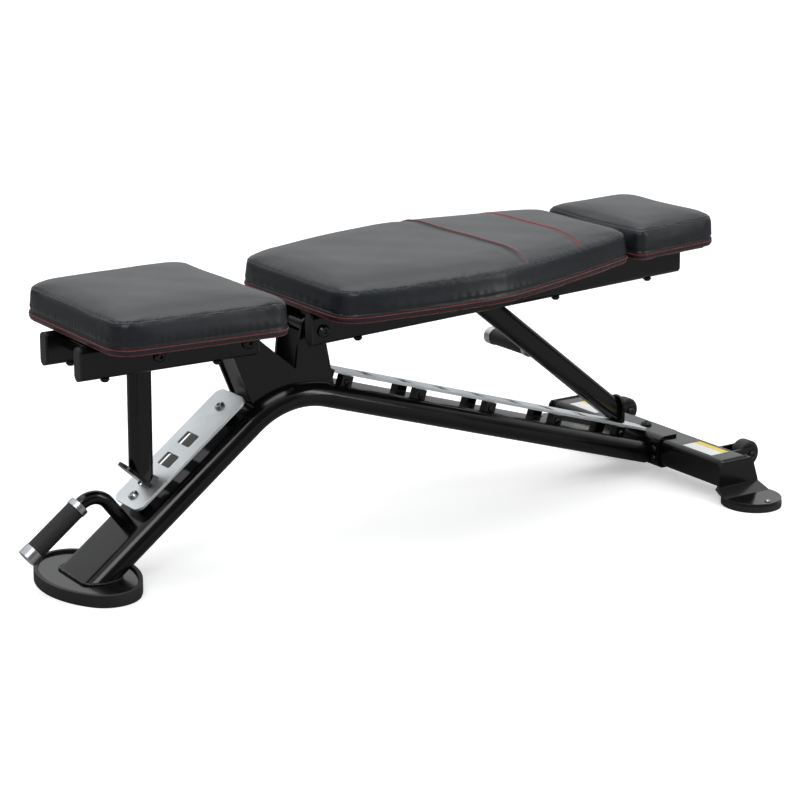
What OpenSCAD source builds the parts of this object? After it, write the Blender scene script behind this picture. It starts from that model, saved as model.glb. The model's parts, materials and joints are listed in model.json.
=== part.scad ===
// Adjustable weight bench: one bent spine on a front foot and a rear cross beam,
// a seat and a backrest that hinge on a shared yoke, and a post and a strut that
// drop into slotted ladders to hold the angle. Millimetres, +Z up.
// Origin: centre of the front foot on the floor; +X runs to the head end.

/* [Seat and back] */
// Height of the underside of the seat rails above the floor
rail_z = 345; // [320:1:380]
// Half width of the seat pad at the hip end
seat_half = 172; // [140:1:190]
// Half width of the backrest at the shoulders
back_half = 208; // [150:1:220]
// Height of a cushion at its edge
pad_edge = 59; // [40:1:70]
// Extra rise of a cushion at its middle
pad_crown = 7; // [0:0.5:12]

/* [Frame] */
// Rise of the front leg above the floor, degrees
leg_deg = 37.5; // [30:0.1:45]
// Fall of the long spine toward the rear beam, degrees
spine_deg = 17; // [12:0.1:20]
// Width of the oval spine tube
spine_w = 114; // [80:1:120]
// Depth of the oval spine tube
spine_t = 40; // [30:1:60]
// Half length of the rear cross beam
beam_half = 235; // [200:1:280]
// Radius of each rear foot disc
disc_r = 53; // [40:1:60]

/* [Ladders] */
// Number of slots for the backrest strut
back_slots = 8; // [4:1:9]
// Distance between the backrest slots
back_pitch = 82; // [60:1:90]
// Number of slots for the seat post
seat_slots = 3; // [2:1:4]
// Distance between the seat slots
seat_pitch = 46; // [40:1:60]

/* [Hidden] */
$fn = 64;
e = 0.05;
wall = 2.5;
run_fit = 0.06;
// seat and back pivots, side view
seat_px = 254;
back_px = 394;
piv_z = rail_z + 24;
pivot_r = 6;
back_deg = 2.4;
// rails
rail_h = 53;
rail_w = 20;
rail_y = 57;
rail_lo = -24;
rail_hi = rail_lo + rail_h;
seat_front = -33 - seat_px;
back_end = 755;
// front foot outline: half sizes, end radius and width of the raised rim
foot_half_x = 76;
foot_half_y = 118;
foot_end_r = 54;
foot_rim = 7;
// seat post and strut pivots, measured from the hinge they ride on
post_x = -157;
strut_x = 331;
strut_z = 2;
bolt_r = 5;
arm_w = 40;
arm_t = 25;
// spine centre line
t1 = tan(leg_deg);
t2 = tan(spine_deg);
leg_x0 = -24;
ref_x = 846;
ref_z = 143;
// the three runs of the bent tube stay this far apart, so each one is closed
joint_gap = 0.04;
arch_r = 178;
corner_x = (ref_z + ref_x * t2 - 20 + leg_x0 * t1) / (t1 + t2);
corner_z = 20 + (corner_x - leg_x0) * t1;
tan_len = arch_r * tan((leg_deg + spine_deg) / 2);
p1x = corner_x - tan_len * cos(leg_deg);
p1z = corner_z - tan_len * sin(leg_deg);
p2x = corner_x + tan_len * cos(spine_deg);
p2z = corner_z - tan_len * sin(spine_deg);
arc_x = p1x + arch_r * sin(leg_deg);
arc_z = p1z - arch_r * cos(leg_deg);
// ladders: distance of their top faces above the tube they sit on
seat_lad_h = 22;
back_lad_h = 22;
lad_t = 5;
slot_y = 36;
seat_lad_len = 250;
// rear parts
beam_x = 1117;
beam_w = 73;
beam_lo = 22;
beam_hi = 72;
disc_x = 1155;
disc_y = 277;
wheel_x = 1240;
wheel_y = 167;
wheel_z = 51;
wheel_r = 25;

// ---- helpers ----------------------------------------------------------
// local frame in the side view: +X along the slope, +Z square to it
module along(x, z, a) {
  translate([x, 0, z])
    rotate([0, -a, 0])
      children();
}
// flat-sided oval, w across and t deep
module track(w, t) {
  square([w - t, t], center = true);
  translate([-(w - t) / 2, 0])
    circle(d = t);
  translate([(w - t) / 2, 0])
    circle(d = t);
}
module track_ring(w, t, k) {
  difference() {
    track(w, t);
    track(w - 2 * k, t - 2 * k);
  }
}
// oval section laid across Y, drawn along +X
module bar_x(len) {
  rotate([90, 0, 90])
    linear_extrude(len)
      children();
}
// round bar along Y, centred
module rod_y(r, len) {
  rotate([90, 0, 0])
    cylinder(r = r, h = len, center = true);
}
module box(x0, x1, y0, y1, z0, z1) {
  translate([x0, y0, z0])
    cube([x1 - x0, y1 - y0, z1 - z0]);
}
// rectangle with rounded corners, no offset needed
module soft_rect(w, h, r) {
  square([w - 2 * r, h], center = true);
  square([w, h - 2 * r], center = true);
  for (i = [-1, 1])
    for (j = [-1, 1])
      translate([i * (w / 2 - r), j * (h / 2 - r)])
        circle(r = r);
}
// button head with a hexagon socket, seat on z = 0
module button(r, h) {
  difference() {
    union() {
      cylinder(r = r, h = h * 0.45);
      translate([0, 0, h * 0.45 - e])
        cylinder(r1 = r, r2 = r * 0.66, h = h * 0.55 + e);
    }
    translate([0, 0, h * 0.4])
      cylinder(r = r * 0.42, h = h, $fn = 6);
  }
}
module hex_nut(r, h) {
  cylinder(r = r, h = h, $fn = 6);
}
module bolt_through(r, half, head) {
  rod_y(r, 2 * half + 2 * e);
  translate([0, -half, 0])
    rotate([90, 0, 0])
      button(head, 6);
  translate([0, half, 0])
    rotate([-90, 0, 0])
      hex_nut(head, 7);
}
module seat_frame() {
  translate([seat_px, 0, piv_z])
    children();
}
module back_frame() {
  along(back_px, piv_z, back_deg)
    children();
}
// frame on the leg: x runs up the leg, z = 0 on its flat face
module on_leg() {
  along(leg_x0, 20, leg_deg)
    children();
}
// frame on the spine: x runs down to the rear, z = 0 on its flat face
module on_spine() {
  along(ref_x, ref_z, -spine_deg)
    children();
}

// ---- spine and yoke ----------------------------------------------------
module spine_leg() {
  on_leg()
    translate([-70, 0, -spine_t / 2])
      bar_x(70 + norm([p1x - leg_x0, p1z - 20]) - joint_gap)
        children();
}
module spine_arch() {
  translate([arc_x, 0, arc_z])
    rotate([90, 0, 0])
      rotate([0, 0, 90 - spine_deg])
        rotate_extrude(angle = leg_deg + spine_deg)
          translate([arch_r - spine_t / 2, 0])
            rotate(90)
              children();
}
module spine_run() {
  along(p2x, p2z, -spine_deg)
    translate([joint_gap, 0, -spine_t / 2])
      bar_x(900)
        children();
}
module spine_tube() {
  color([0.06, 0.06, 0.07])
  difference() {
    union() {
      spine_leg()
        track_ring(spine_w, spine_t, 3);
      spine_arch()
        track_ring(spine_w, spine_t, 3);
      spine_run()
        track_ring(spine_w, spine_t, 3);
    }
    box(-300, 300, -100, 100, -200, 16);
    box(beam_x - 5, 1600, -100, 100, -200, 300);
  }
}
module yoke_side() {
  // side plate: two lugs joined over the bend of the spine
  rotate([90, 0, 0])
    linear_extrude(6, center = true)
      difference() {
        union() {
          translate([seat_px, piv_z])
            circle(r = 19);
          translate([back_px, piv_z])
            circle(r = 21);
          polygon([[235.2, 366], [248, 336], [285, 248], [450, 236],
            [436, 270], [415, 369], [373, 369], [367, 342],
            [363, 303], [288, 366]]);
        }
        // clear the tube the plate is welded on
        translate([arc_x, arc_z])
          circle(r = arch_r + 0.01, $fn = 180);
        yoke_cut();
      }
}
// the straight runs of the tube, removed from a side plate
module yoke_cut() {
  polygon([[p1x - 200 * cos(leg_deg), p1z - 200 * sin(leg_deg)], [p1x, p1z],
    [arc_x, arc_z], [arc_x, arc_z - 200]]);
  polygon([[p2x, p2z], [p2x + 200 * cos(spine_deg), p2z - 200 * sin(spine_deg)],
    [arc_x, arc_z - 200], [arc_x, arc_z]]);
}
module yoke_near_plate() {
  color([0.06, 0.06, 0.07])
  difference() {
    translate([0, -31, 0])
      yoke_side();
    yoke_bores();
  }
}
module yoke_far_plate() {
  color([0.06, 0.06, 0.07])
  difference() {
    translate([0, 31, 0])
      yoke_side();
    yoke_bores();
  }
}
module yoke_bores() {
  for (x = [seat_px, back_px])
    translate([x, 0, piv_z])
      rod_y(pivot_r, 200);
}
module yoke_front_plate() {
  // closes the front between the side plates, down to the leg
  color([0.06, 0.06, 0.07])
  difference() {
    rotate([90, 0, 0])
      linear_extrude(56 - 2 * e, center = true)
        polygon([[248, 346], [282, 264], [290, 230], [298, 230], [289, 266],
          [255, 348]]);
    on_leg()
      box(-100, 560, -60, 60, -60, 0);
  }
}
module pivot_pin(x, half) {
  translate([x, 0, piv_z])
    bolt_through(pivot_r, half, 10);
}
module seat_pivot_axle() {
  color([0.3, 0.3, 0.32])
  pivot_pin(seat_px, rail_y + rail_w / 2 + 0.4);
}
module back_pivot_axle() {
  color([0.3, 0.3, 0.32])
  pivot_pin(back_px, rail_y + rail_w / 2 + 0.4);
}
module pivot_spacers() {
  color([0.08, 0.08, 0.09])
  for (x = [seat_px, back_px])
    translate([x, 0, piv_z]) {
      for (s = [-1, 1])
        translate([0, s * 40.2, 0])
          spacer_ring(12, 12.4);
      spacer_ring(14, 56);
    }
}
module spacer_ring(r, len) {
  difference() {
    rod_y(r, len);
    rod_y(pivot_r, len + 2);
  }
}

// ---- front foot and carry handle ----------------------------------------
// foot outline from four arcs; a and b are its half sizes, r the end radius
module oval(a, b, r) {
  c = b - r;
  big = (a * a + c * c - r * r) / (2 * (a - r));
  meet = c + r * c / (big - r);
  for (s = [-1, 1])
    translate([0, s * c])
      circle(r = r);
  intersection() {
    translate([a - big, 0])
      circle(r = big, $fn = 240);
    translate([big - a, 0])
      circle(r = big, $fn = 240);
    square([3 * a, 2 * meet], center = true);
  }
}
module front_foot_plate() {
  color([0.1, 0.1, 0.11])
  translate([0, 0, 5])
    linear_extrude(11)
      oval(foot_half_x - foot_rim, foot_half_y - foot_rim,
        foot_end_r - foot_rim);
}
module front_foot_rubber() {
  color([0.04, 0.04, 0.04])
  difference() {
    linear_extrude(20)
      oval(foot_half_x, foot_half_y, foot_end_r);
    translate([0, 0, 5])
      linear_extrude(30)
        oval(foot_half_x - foot_rim, foot_half_y - foot_rim,
          foot_end_r - foot_rim);
  }
}
handle_s = 114;
handle_n = 80;
handle_bend = 34;
module carry_handle_tube() {
  color([0.06, 0.06, 0.07])
  on_leg()
    translate([handle_s, 0, 0]) {
      cylinder(d = 22, h = handle_n - handle_bend);
      translate([-handle_bend, 0, handle_n - handle_bend])
        rotate([90, 0, 0])
          rotate_extrude(angle = 90)
            translate([handle_bend, 0])
              circle(d = 22);
      translate([-handle_bend - 108, 0, handle_n])
        rotate([0, 90, 0])
          cylinder(d = 22, h = 108);
    }
}
module carry_handle_grip() {
  color([0.05, 0.05, 0.05])
  grip_at(on = 1, r = 15.5, x0 = 12, len = 88);
}
// sleeve over the free end of the carry handle
module grip_at(on, r, x0, len) {
  on_leg()
    translate([handle_s - handle_bend - x0 - len, 0, handle_n])
      rotate([0, 90, 0])
        difference() {
          cylinder(r = r, h = len);
          translate([0, 0, -1])
            cylinder(r = 11, h = len + 2);
        }
}
module carry_handle_rings() {
  color([0.8, 0.8, 0.82])
  grip_at(on = 1, r = 16.8, x0 = 1, len = 11);
  color([0.8, 0.8, 0.82])
  on_leg()
    translate([handle_s - handle_bend - 118, 0, handle_n])
      rotate([0, 90, 0])
        difference() {
          cylinder(r = 16.8, h = 18);
          translate([0, 0, 10])
            cylinder(r = 11, h = 10);
        }
}

// ---- ladders ------------------------------------------------------------
slot_s = 179;
module seat_ladder() {
  color([0.75, 0.78, 0.8])
  on_leg()
    translate([0, 0, seat_lad_h - lad_t])
      linear_extrude(lad_t)
        difference() {
          translate([slot_s + 78, 0])
            soft_rect(seat_lad_len, 84, 16);
          for (i = [0 : seat_slots - 1])
            translate([slot_s + 6 + i * seat_pitch, 0])
              soft_rect(25, slot_y, 3);
          for (s = seat_bolt_s())
            translate([s, 0])
              circle(r = 4.2);
        }
}
function seat_bolt_s() = [slot_s - 27, slot_s + 172];
module seat_ladder_spacers() {
  color([0.06, 0.06, 0.07])
  on_leg()
    for (s = seat_bolt_s())
      translate([s, 0, 0])
        difference() {
          cylinder(r = 11, h = seat_lad_h - lad_t);
          translate([0, 0, 2])
            cylinder(r = 4.2, h = 30);
        }
}
module seat_ladder_bolts() {
  color([0.7, 0.72, 0.74])
  on_leg()
    for (s = seat_bolt_s())
      translate([s, 0, 0]) {
        translate([0, 0, 4])
          cylinder(r = 4.2, h = seat_lad_h - 4 + e);
        translate([0, 0, seat_lad_h])
          button(8, 5);
      }
}
// slot centres along the spine, from the lowest one up
foot_x = 1062;
foot_s = (foot_x - ref_x) / cos(spine_deg) + back_lad_h * tan(spine_deg);
back_lad_s0 = -430;
back_lad_s1 = foot_s + 52;
module back_ladder() {
  color([0.75, 0.78, 0.8])
  difference() {
    on_spine() {
      translate([0, 0, back_lad_h - lad_t])
        linear_extrude(lad_t)
          difference() {
            union() {
              translate([back_lad_s0, -29])
                square([back_lad_s1 - back_lad_s0, 58]);
              translate([back_lad_s1, -20])
                square([14, 40]);
              translate([back_lad_s1 + 14, 0])
                circle(r = 20);
            }
            for (i = [0 : back_slots - 1])
              translate([foot_s - 6 - i * back_pitch, 0])
                soft_rect(25, slot_y, 3);
          }
      }
    // the end stops at the saddle's folded plate
    rotate([90, 0, 0])
      linear_extrude(150, center = true)
        beam_profile(5.02);
  }
}
function bracket_s() = [for (i = [0 : 4]) -405 + i * 155.5];
module back_ladder_brackets() {
  // small folded clips under both long edges of the plate
  color([0.07, 0.07, 0.08])
  on_spine()
    for (s = bracket_s())
      for (k = [0, 1])
        translate([s, 0, 0])
          mirror([0, k, 0])
            difference() {
              box(-11, 11, 20, 36, 0, back_lad_h - lad_t);
              box(-7, 7, 19, 32, 3, back_lad_h - lad_t - 3);
            }
}
module back_ladder_screws() {
  color([0.7, 0.72, 0.74])
  on_spine()
    for (s = bracket_s())
      for (k = [-1, 1])
        translate([s, k * 36, 6])
          rotate([-90 * k, 0, 0])
            button(4.5, 3.5);
}

// ---- rear beam, feet and wheels -----------------------------------------
module beam_profile(g) {
  translate([beam_x + beam_w / 2, (beam_lo + beam_hi) / 2])
    soft_rect(beam_w + 2 * g, beam_hi - beam_lo + 2 * g, 12 + g);
}
module rear_beam() {
  color([0.06, 0.06, 0.07])
  rotate([90, 0, 0])
    linear_extrude(2 * beam_half, center = true)
      difference() {
        beam_profile(0);
        beam_profile(-2.5);
      }
}
module saddle() {
  // plate folded over the front, top and underside of the beam
  color([0.07, 0.07, 0.08])
  difference() {
    rotate([90, 0, 0])
      linear_extrude(150, center = true)
        difference() {
          beam_profile(5);
          beam_profile(0);
          translate([1172, 0])
            square([100, 200]);
          translate([1150, 0])
            square([100, 30]);
        }
    for (s = [-1, 1])
      translate([1172, s * 75, 60])
        rotate([0, 0, 45])
          cube([22, 22, 60], center = true);
  }
}
module saddle_bolts() {
  color([0.25, 0.25, 0.27])
  translate([1149, 0, beam_hi + 5])
    button(10, 6);
  color([0.55, 0.55, 0.58])
  for (s = [-1, 1])
    for (z = [36, 54])
      translate([beam_x - 5, s * 66, z])
        rotate([0, -90, 0])
          button(6, 4);
}
module end_plate() {
  // upright plate on the beam end, folded out over the foot disc
  difference() {
    rotate([90, 0, 90])
      linear_extrude(200)
        polygon([[0, 72], [0, 23], [22, 16], [35, 16], [5, 26], [5, 72]]);
    // front and rear edges
    rotate([90, 0, 0])
      translate([0, 0, -60])
        linear_extrude(80)
          difference() {
            translate([-20, -20])
              square([260, 140]);
            polygon([[39, 10], [39, 18], [48, 28], [48, 65], [54, 72.1],
              [122, 72.1], [129, 64], [142, 28], [142, 10]]);
          }
  }
}
module rear_end_plate_near() {
  color([0.06, 0.06, 0.07])
  translate([beam_x - 54, -beam_half, 0])
    mirror([0, 1, 0])
      end_plate();
}
module rear_end_plate_far() {
  color([0.06, 0.06, 0.07])
  translate([beam_x - 54, beam_half, 0])
    end_plate();
}
module rear_foot_plates() {
  color([0.1, 0.1, 0.11])
  for (s = [-1, 1])
    translate([disc_x, s * disc_y, 10])
      difference() {
        cylinder(r = disc_r - 0.6, h = 6, $fn = 96);
        translate([0, s * 40, -1])
          cylinder(r = 2.5, h = 20);
      }
}
module rear_foot_rubbers() {
  color([0.04, 0.04, 0.04])
  for (s = [-1, 1])
    translate([disc_x, s * disc_y, 0])
      cylinder(r = disc_r, h = 10, $fn = 96);
}
module rear_foot_screws() {
  color([0.8, 0.8, 0.82])
  for (s = [-1, 1])
    translate([disc_x, s * (disc_y + 40), 10]) {
      cylinder(r = 2.5, h = 6 + e);
      translate([0, 0, 6])
        button(4.5, 2.5);
    }
}
module wheel_brackets() {
  color([0.07, 0.07, 0.08])
  for (s = [-1, 1])
    for (k = [-1, 1])
      difference() {
        translate([0, s * wheel_y + k * 17, 0])
          rotate([90, 0, 0])
            linear_extrude(4, center = true) {
              translate([beam_x + beam_w, 36])
                square([wheel_x - beam_x - beam_w, 30]);
              translate([wheel_x, wheel_z])
                circle(r = 15);
            }
        translate([wheel_x, s * wheel_y, wheel_z])
          rod_y(5, 60);
      }
}
module wheel_axles() {
  color([0.6, 0.6, 0.63])
  for (s = [-1, 1])
    translate([wheel_x, s * wheel_y, wheel_z]) {
      rod_y(5, 2 * 21);
      for (k = [-1, 1])
        translate([0, k * 19, 0])
          rotate([-90 * k, 0, 0])
            button(8, 4);
    }
}
module tyre(y) {
  translate([wheel_x, y, wheel_z])
    rotate([90, 0, 0])
      rotate_extrude($fn = 96)
        difference() {
          translate([19.5, 0])
            soft_rect(11, 24, 4);
          translate([0, -20])
            square([16, 40]);
        }
}
module hub(y) {
  translate([wheel_x, y, wheel_z])
    rotate([90, 0, 0])
      rotate_extrude($fn = 96)
        difference() {
          translate([5 + run_fit, -11])
            square([11 - run_fit, 22]);
          translate([11, 11])
            circle(r = 3);
          translate([11, -11])
            circle(r = 3);
        }
}
module wheel_near_tyre() {
  color([0.04, 0.04, 0.04])
  tyre(-wheel_y);
}
module wheel_near_hub() {
  color([0.2, 0.2, 0.21])
  hub(-wheel_y);
}
module wheel_far_tyre() {
  color([0.04, 0.04, 0.04])
  tyre(wheel_y);
}
module wheel_far_hub() {
  color([0.2, 0.2, 0.21])
  hub(wheel_y);
}
module blank_labels() {
  // plain patches with nothing printed on them
  color([0.9, 0.9, 0.9])
  for (s = [-1, 1])
    box(1129, 1171, s * 160 - 38, s * 160 + 38, beam_hi, beam_hi + 0.5);
}

// ---- seat ---------------------------------------------------------------
module rail(x0, x1) {
  translate([x0, 0, (rail_lo + rail_hi) / 2])
    rotate([90, 0, 90])
      linear_extrude(x1 - x0)
        rotate(90)
          track_ring(rail_h, rail_w, wall);
}
module cap(x0, x1) {
  translate([x0, 0, (rail_lo + rail_hi) / 2])
    rotate([90, 0, 90])
      linear_extrude(x1 - x0)
        rotate(90)
          track(rail_h, rail_w);
}
module rail_end(x) {
  // solid rounded plug that carries the hinge bore
  translate([x, 0, (rail_lo + rail_hi) / 2])
    rotate([90, 0, 0])
      cylinder(r = rail_h / 2, h = rail_w - 2 * wall, center = true);
}
module rail_pair() {
  for (s = [-1, 1])
    translate([0, s * rail_y, 0])
      children();
}
module boss_y(x, z, r) {
  translate([x, 0, z])
    rod_y(r, rail_w - 2);
}
module seat_rails() {
  color([0.07, 0.07, 0.08])
  seat_frame()
    difference() {
      rail_pair()
        union() {
          rail(seat_front, 18);
          boss_y(0, 0, 13);
          boss_y(post_x, 0, 11);
          boss_y(-4, 4.5, 21);
        }
      rod_y(pivot_r + run_fit, 300);
      translate([post_x, 0, 0])
        rod_y(bolt_r, 300);
    }
}
module seat_rail_caps() {
  color([0.05, 0.05, 0.05])
  seat_frame()
    rail_pair() {
      cap(seat_front - 4, seat_front);
      cap(18, 22);
    }
}
module cross_bar(x, half) {
  translate([x, 0, rail_hi - 18])
    rotate([90, 0, 0])
      linear_extrude(2 * half, center = true)
        difference() {
          soft_rect(30, 20, 4);
          soft_rect(25, 15, 2);
        }
}
module seat_cross_bars() {
  color([0.06, 0.06, 0.07])
  seat_frame() {
    cross_bar(-245, rail_y - rail_w / 2);
    cross_bar(-50, rail_y - rail_w / 2);
  }
}
// plan outline of the seat cushion, from the hip end forward
seat_x0 = -277;
seat_x1 = 22;
function seat_w(x) = 158 + (seat_half - 158) * pow((x - seat_x0) /
  (seat_x1 - seat_x0), 0.9);
back_x0 = -22;
back_xw = 270;
back_x1 = 594;
function back_w(x) = x < back_xw
  ? back_half - 46 * pow((back_xw - x) / (back_xw - back_x0), 1.6)
  : back_half - 84 * pow((x - back_xw) / (back_x1 - back_xw), 1.2);
head_x0 = 608;
head_x1 = 797;
function head_w(x) = 131 - 8 * (x - head_x0) / (head_x1 - head_x0);
// half-width at x with the corners rounded off, c0 and c1 are corner sizes
function corner(x, x0, x1, c0, c1) =
  x < x0 + c0 ? c0 * (1 - sqrt(max(0, 1 - pow(1 - (x - x0) / c0, 2)))) :
  x > x1 - c1 ? c1 * (1 - sqrt(max(0, 1 - pow(1 - (x1 - x) / c1, 2)))) : 0;
function half_at(k, x) = k == 0 ? seat_w(x) - corner(x, seat_x0, seat_x1, 34, 30)
  : k == 1 ? back_w(x) - corner(x, back_x0, back_x1, 36, 18)
  : head_w(x) - corner(x, head_x0, head_x1, 16, 28);
function ends(k) = k == 0 ? [seat_x0, seat_x1]
  : k == 1 ? [back_x0, back_x1] : [head_x0, head_x1];
steps = 40;
// more points toward both ends, where the outline turns
function spread(i) = (1 - cos(180 * i / steps)) / 2;
function ring(k, inset) =
  let (x0 = ends(k)[0], x1 = ends(k)[1], mid = (x0 + x1) / 2,
    sx = (x1 - x0 - 2 * inset) / (x1 - x0))
  [for (j = [0 : 2 * steps + 1])
    let (i = j <= steps ? j : 2 * steps + 1 - j,
      x = x0 + (x1 - x0) * spread(i),
      y = max(1, half_at(k, x) - inset))
    [mid + (x - mid) * sx, j <= steps ? y : -y]];
module outline(k, inset) {
  polygon(ring(k, inset));
}
board_t = 10;
board_in = 9;
// cushion: one skin from the pocket for the board, round the side and over
// the crown; each entry is how far in from the outline, and how high
function skin() = [[board_in, board_t], [board_in, 0], [3, 0], [0, 5],
  [0, pad_edge - 12], [1, pad_edge - 8], [4, pad_edge - 4], [9, pad_edge - 1],
  [16, pad_edge + pad_crown * 0.2], [38, pad_edge + pad_crown * 0.7],
  [76, pad_edge + pad_crown]];
module cushion(k) {
  n = 2 * steps + 2;
  rows = skin();
  pts = [for (r = rows)
    for (q = ring(k, r[0]))
      [q[0], q[1], r[1]]];
  sides = [for (r = [0 : len(rows) - 2])
    for (j = [0 : n - 1])
      let (a = r * n + j, b = r * n + (j + 1) % n)
        [a, a + n, b + n, b]];
  tri = concat([for (q = sides) [q[0], q[1], q[2]]],
    [for (q = sides) [q[0], q[2], q[3]]]);
  base = [for (j = [0 : n - 1]) j];
  lid = [for (j = [n - 1 : -1 : 0]) (len(rows) - 1) * n + j];
  translate([0, 0, rail_hi])
    polyhedron(points = pts, faces = concat([base, lid], tri));
}
module board(k) {
  translate([0, 0, rail_hi])
    linear_extrude(board_t)
      outline(k, board_in);
}
module seat_board() {
  color([0.6, 0.48, 0.33])
  seat_frame()
    board(0);
}
module seat_pad() {
  color([0.1, 0.11, 0.13])
  seat_frame()
    cushion(0);
}
// screws that hold a board down, heads under the rails
module pad_bolts(xs) {
  rail_pair()
    for (x = xs)
      translate([x, 0, rail_lo])
        rotate([180, 0, 0])
          button(7, 6);
}
module seat_bolts() {
  color([0.1, 0.1, 0.11])
  seat_frame()
    pad_bolts([-245, -50]);
}
module post_pivot_bolt() {
  color([0.3, 0.3, 0.32])
  seat_frame()
    translate([post_x, 0, 0])
      bolt_through(bolt_r, rail_y + rail_w / 2, 9);
}

// ---- seat post ------------------------------------------------------------
post_wx = seat_px + post_x;
module pivot_sleeve(r) {
  difference() {
    rod_y(r, 90);
    rod_y(bolt_r + run_fit, 120);
  }
}
module post_sleeve() {
  color([0.06, 0.06, 0.07])
  translate([post_wx, 0, piv_z])
    pivot_sleeve(13);
}
module post_tube() {
  color([0.06, 0.06, 0.07])
  difference() {
    translate([post_wx, 0, 100])
      linear_extrude(piv_z - 100)
        track_ring(arm_w, arm_t, wall);
    translate([post_wx, 0, piv_z])
      rod_y(13, 120);
    translate([post_wx, 0, piv_z])
      box(-40, 40, -40, 40, 0, 60);
    on_leg()
      translate([slot_s, 0, seat_lad_h])
        rotate([0, -10, 0])
          box(-300, 3, -60, 60, -100, 200);
    on_leg()
      box(-200, 400, -60, 60, -100, seat_lad_h + 3);
  }
}
module foot_blade(len, wide, tongue, dip) {
  // upright blade with a narrower tongue for the ladder slot
  rotate([90, 0, 90])
    linear_extrude(6, center = true) {
      translate([-wide / 2, 1])
        square([wide, len - wide / 2]);
      translate([0, len - wide / 2])
        circle(d = wide);
      translate([-tongue / 2, -dip])
        square([tongue, dip + 2]);
    }
}
module post_foot() {
  color([0.08, 0.08, 0.09])
  on_leg()
    translate([slot_s, 0, seat_lad_h])
      rotate([0, -10, 0])
        foot_blade(58, 42, 30, 4);
}

// ---- backrest ---------------------------------------------------------------
module back_rails() {
  color([0.07, 0.07, 0.08])
  back_frame()
    difference() {
      rail_pair()
        union() {
          rail(-18, back_end);
          boss_y(0, 0, 13);
          boss_y(strut_x, strut_z, 11);
          boss_y(4, 4.5, 21);
        }
      rod_y(pivot_r + run_fit, 300);
      translate([strut_x, 0, strut_z])
        rod_y(bolt_r, 300);
    }
}
module back_rail_caps() {
  color([0.05, 0.05, 0.05])
  back_frame()
    rail_pair() {
      cap(-22, -18);
      cap(back_end, back_end + 4);
    }
}
module back_cross_bars() {
  color([0.06, 0.06, 0.07])
  back_frame()
    for (x = [96, 470, 700])
      cross_bar(x, rail_y - rail_w / 2);
}
module back_board() {
  color([0.6, 0.48, 0.33])
  back_frame()
    board(1);
}
module back_pad() {
  color([0.1, 0.11, 0.13])
  back_frame()
    cushion(1);
}
module head_board() {
  color([0.6, 0.48, 0.33])
  back_frame()
    board(2);
}
module head_pad() {
  color([0.1, 0.11, 0.13])
  back_frame()
    cushion(2);
}
module back_bolts() {
  color([0.1, 0.1, 0.11])
  back_frame()
    pad_bolts([72, 482, 690]);
}
module strut_pivot_bolt() {
  color([0.3, 0.3, 0.32])
  back_frame()
    translate([strut_x, 0, strut_z])
      bolt_through(bolt_r, rail_y + rail_w / 2, 9);
}

// ---- strut --------------------------------------------------------------------
strut_wx = back_px + strut_x * cos(back_deg) - strut_z * sin(back_deg);
strut_wz = piv_z + strut_x * sin(back_deg) + strut_z * cos(back_deg);
aim_x = 1060;
aim_z = 124;
strut_deg = atan2(strut_wz - aim_z, aim_x - strut_wx);
handle_t = 222;
module on_strut() {
  along(strut_wx, strut_wz, -strut_deg)
    children();
}
module strut_sleeve() {
  color([0.06, 0.06, 0.07])
  on_strut()
    pivot_sleeve(13);
}
module strut_tube() {
  color([0.06, 0.06, 0.07])
  difference() {
    on_strut()
      rotate([90, 0, 90])
        linear_extrude(470)
          rotate(90)
            track_ring(arm_w, arm_t, wall);
    on_strut()
      rod_y(13, 120);
    on_strut()
      box(-60, 0, -40, 40, -60, 60);
    on_spine()
      translate([foot_s, 0, back_lad_h])
        rotate([0, -spine_deg, 0])
          box(-3, 300, -60, 60, -100, 300);
    on_spine()
      box(-400, foot_s + 200, -60, 60, -100, back_lad_h + 3);
  }
}
module strut_foot() {
  color([0.08, 0.08, 0.09])
  on_spine()
    translate([foot_s, 0, back_lad_h])
      rotate([0, -spine_deg, 0])
        foot_blade(50, 42, 30, 5);
}
module strut_handle_stub() {
  color([0.06, 0.06, 0.07])
  on_strut()
    translate([handle_t, arm_t / 2, 0])
      rotate([-90, 0, 0])
        cylinder(d = 20, h = 134);
}
module strut_handle_grip() {
  color([0.05, 0.05, 0.05])
  strut_sleeve_part(14.5, 46, 92);
}
module strut_sleeve_part(r, y0, len) {
  on_strut()
    translate([handle_t, y0, 0])
      rotate([-90, 0, 0])
        difference() {
          cylinder(r = r, h = len);
          translate([0, 0, -1])
            cylinder(r = 10, h = len + 2);
        }
}
module strut_handle_rings() {
  color([0.8, 0.8, 0.82])
  strut_sleeve_part(15.8, 36, 10);
  color([0.8, 0.8, 0.82])
  on_strut()
    translate([handle_t, 138, 0])
      rotate([-90, 0, 0])
        difference() {
          cylinder(r = 15.8, h = 16);
          translate([0, 0, -1])
            cylinder(r = 10, h = arm_t / 2 + 134 - 138 + 1);
        }
}

// ---- assembly -------------------------------------------------------------
spine_tube();
yoke_near_plate();
yoke_far_plate();
yoke_front_plate();
front_foot_plate();
front_foot_rubber();
carry_handle_tube();
carry_handle_grip();
carry_handle_rings();
seat_ladder();
seat_ladder_spacers();
seat_ladder_bolts();
back_ladder();
back_ladder_brackets();
back_ladder_screws();
saddle();
saddle_bolts();
rear_beam();
rear_end_plate_near();
rear_end_plate_far();
rear_foot_plates();
rear_foot_rubbers();
rear_foot_screws();
wheel_brackets();
wheel_axles();
blank_labels();
seat_pivot_axle();
back_pivot_axle();
pivot_spacers();
seat_rails();
seat_rail_caps();
seat_cross_bars();
seat_board();
seat_pad();
seat_bolts();
post_pivot_bolt();
post_tube();
post_sleeve();
post_foot();
back_rails();
back_rail_caps();
back_cross_bars();
back_board();
back_pad();
head_board();
head_pad();
back_bolts();
strut_pivot_bolt();
strut_tube();
strut_sleeve();
strut_foot();
strut_handle_stub();
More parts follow.
